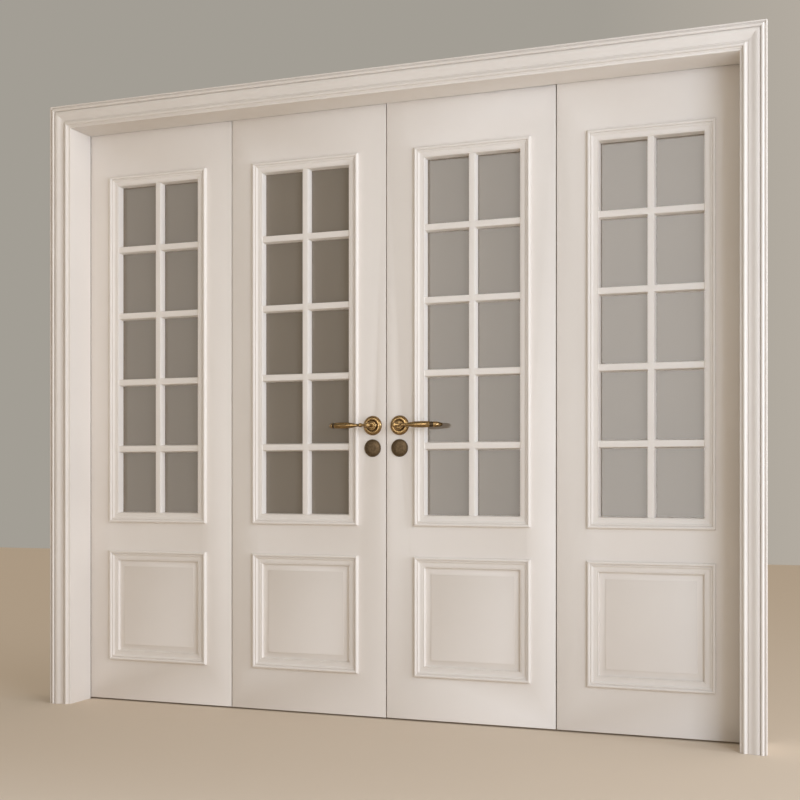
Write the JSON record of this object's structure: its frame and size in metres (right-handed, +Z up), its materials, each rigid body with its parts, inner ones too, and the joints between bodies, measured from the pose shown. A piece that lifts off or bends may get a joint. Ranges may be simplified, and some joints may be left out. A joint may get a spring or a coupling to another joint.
{
  "type": "french doors",
  "caption": "Glazed and panelled french doors that fold in pairs inside a deep cased frame, with lever handles on the meeting leaves",
  "frame": {"origin": "middle of the bounding box at floor level", "axes": "+X to the right as seen from the front, +Y away from the viewer towards the side the leaves open to, +Z up"},
  "size_m": [2.564, 0.2486, 2.206],
  "materials": {
    "paint": "warm off-white satin paint on wood",
    "glass": "clear glass with a warm grey cast",
    "brass": "aged brass with dark recesses",
    "steel": "plain zinc-plated steel",
    "seal": "soft beige rubber"
  },
  "bodies": {
    "frame": {"casing_back": "paint", "casing_front": "paint", "frame_head": "paint", "frame_seals": "seal", "head_keepers": "brass", "jamb_hinge_plates": "brass", "jamb_left": "paint", "jamb_right": "paint"},
    "leaf_1": {"leaf_1_bolt_plates": "brass", "leaf_1_glass": "glass", "leaf_1_glazing_bars": "paint", "leaf_1_glazing_moulding": "paint", "leaf_1_hinge_plates": "brass", "leaf_1_panel": "paint", "leaf_1_panel_moulding": "paint", "leaf_1_slab": "paint"},
    "leaf_2": {"leaf_2_bolt_plates": "brass", "leaf_2_cover_discs": "brass", "leaf_2_glass": "glass", "leaf_2_glazing_bars": "paint", "leaf_2_glazing_moulding": "paint", "leaf_2_hinge_plates": "brass", "leaf_2_panel": "paint", "leaf_2_panel_moulding": "paint", "leaf_2_roses": "brass", "leaf_2_slab": "paint", "leaf_2_strike": "brass"},
    "leaf_3": {"leaf_3_cover_discs": "brass", "leaf_3_glass": "glass", "leaf_3_glazing_bars": "paint", "leaf_3_glazing_moulding": "paint", "leaf_3_hinge_plates": "brass", "leaf_3_lock_case": "steel", "leaf_3_panel": "paint", "leaf_3_panel_moulding": "paint", "leaf_3_roses": "brass", "leaf_3_slab": "paint"},
    "leaf_4": {"leaf_4_bolt_plates": "brass", "leaf_4_glass": "glass", "leaf_4_glazing_bars": "paint", "leaf_4_glazing_moulding": "paint", "leaf_4_hinge_plates": "brass", "leaf_4_panel": "paint", "leaf_4_panel_moulding": "paint", "leaf_4_slab": "paint"},
    "leaf_1_bottom_bolt_body": {"leaf_1_bottom_bolt": "brass"},
    "leaf_1_top_bolt_body": {"leaf_1_top_bolt": "brass"},
    "lever_2": {"leaf_2_back_lever": "brass", "leaf_2_front_lever": "brass"},
    "leaf_2_bottom_bolt_body": {"leaf_2_bottom_bolt": "brass"},
    "leaf_2_top_bolt_body": {"leaf_2_top_bolt": "brass"},
    "lever_3": {"leaf_3_back_lever": "brass", "leaf_3_front_lever": "brass"},
    "dead_bolt_body": {"leaf_3_dead_bolt": "brass"},
    "latch_bolt_body": {"leaf_3_latch_bolt": "brass"},
    "thumb_turn_body": {"leaf_3_thumb_turn": "brass"},
    "leaf_4_bottom_bolt_body": {"leaf_4_bottom_bolt": "brass"},
    "leaf_4_top_bolt_body": {"leaf_4_top_bolt": "brass"}
  },
  "joints": [
    {"name": "leaf_1_hinge", "type": "hinge", "parent": "frame", "child": "leaf_1", "pos_m": [-1.218, 0.07575, 0], "axis": [0, 0, 1], "range_deg": [0, 90]},
    {"name": "leaf_2_fold", "type": "hinge", "parent": "leaf_1", "child": "leaf_2", "pos_m": [-0.618, 0.07575, 0], "axis": [0, 0, 1], "range_deg": [0, 150]},
    {"name": "leaf_4_hinge", "type": "hinge", "parent": "frame", "child": "leaf_4", "pos_m": [1.218, 0.07575, 0], "axis": [0, 0, 1], "range_deg": [-90, 0]},
    {"name": "leaf_3_fold", "type": "hinge", "parent": "leaf_4", "child": "leaf_3", "pos_m": [0.618, 0.07575, 0], "axis": [0, 0, 1], "range_deg": [-150, 0]},
    {"name": "leaf_2_lever_turn", "type": "hinge", "parent": "leaf_2", "child": "lever_2", "pos_m": [-0.05, 0.04575, 1.014], "axis": [0, 1, 0], "range_deg": [-45, 0], "stiffness_Nm_per_rad": 2, "springref_deg": 34.38},
    {"name": "leaf_3_lever_turn", "type": "hinge", "parent": "leaf_3", "child": "lever_3", "pos_m": [0.05, 0.04575, 1.014], "axis": [0, 1, 0], "range_deg": [0, 45], "stiffness_Nm_per_rad": 2, "springref_deg": -34.38},
    {"name": "latch_slide", "type": "slide", "parent": "leaf_3", "child": "latch_bolt_body", "axis": [-1, 0, 0], "range_m": [0, 0.012]},
    {"name": "thumb_turn_turn", "type": "hinge", "parent": "leaf_3", "child": "thumb_turn_body", "pos_m": [0.05, 0.06775, 0.936], "axis": [0, 1, 0], "range_deg": [0, 90]},
    {"name": "dead_bolt_slide", "type": "slide", "parent": "leaf_3", "child": "dead_bolt_body", "axis": [-1, 0, 0], "range_m": [0, 0.016]},
    {"name": "leaf_1_top_bolt_slide", "type": "slide", "parent": "leaf_1", "child": "leaf_1_top_bolt_body", "axis": [0, 0, 1], "range_m": [0, 0.018]},
    {"name": "leaf_1_bottom_bolt_slide", "type": "slide", "parent": "leaf_1", "child": "leaf_1_bottom_bolt_body", "axis": [0, 0, -1], "range_m": [0, 0.018]},
    {"name": "leaf_2_top_bolt_slide", "type": "slide", "parent": "leaf_2", "child": "leaf_2_top_bolt_body", "axis": [0, 0, 1], "range_m": [0, 0.018]},
    {"name": "leaf_2_bottom_bolt_slide", "type": "slide", "parent": "leaf_2", "child": "leaf_2_bottom_bolt_body", "axis": [0, 0, -1], "range_m": [0, 0.018]},
    {"name": "leaf_4_top_bolt_slide", "type": "slide", "parent": "leaf_4", "child": "leaf_4_top_bolt_body", "axis": [0, 0, 1], "range_m": [0, 0.018]},
    {"name": "leaf_4_bottom_bolt_slide", "type": "slide", "parent": "leaf_4", "child": "leaf_4_bottom_bolt_body", "axis": [0, 0, -1], "range_m": [0, 0.018]}
  ],
  "couplings": [
    {"joint": "thumb_turn_turn", "follows": "dead_bolt_slide", "rad_per_m": 98.175}
  ]
}
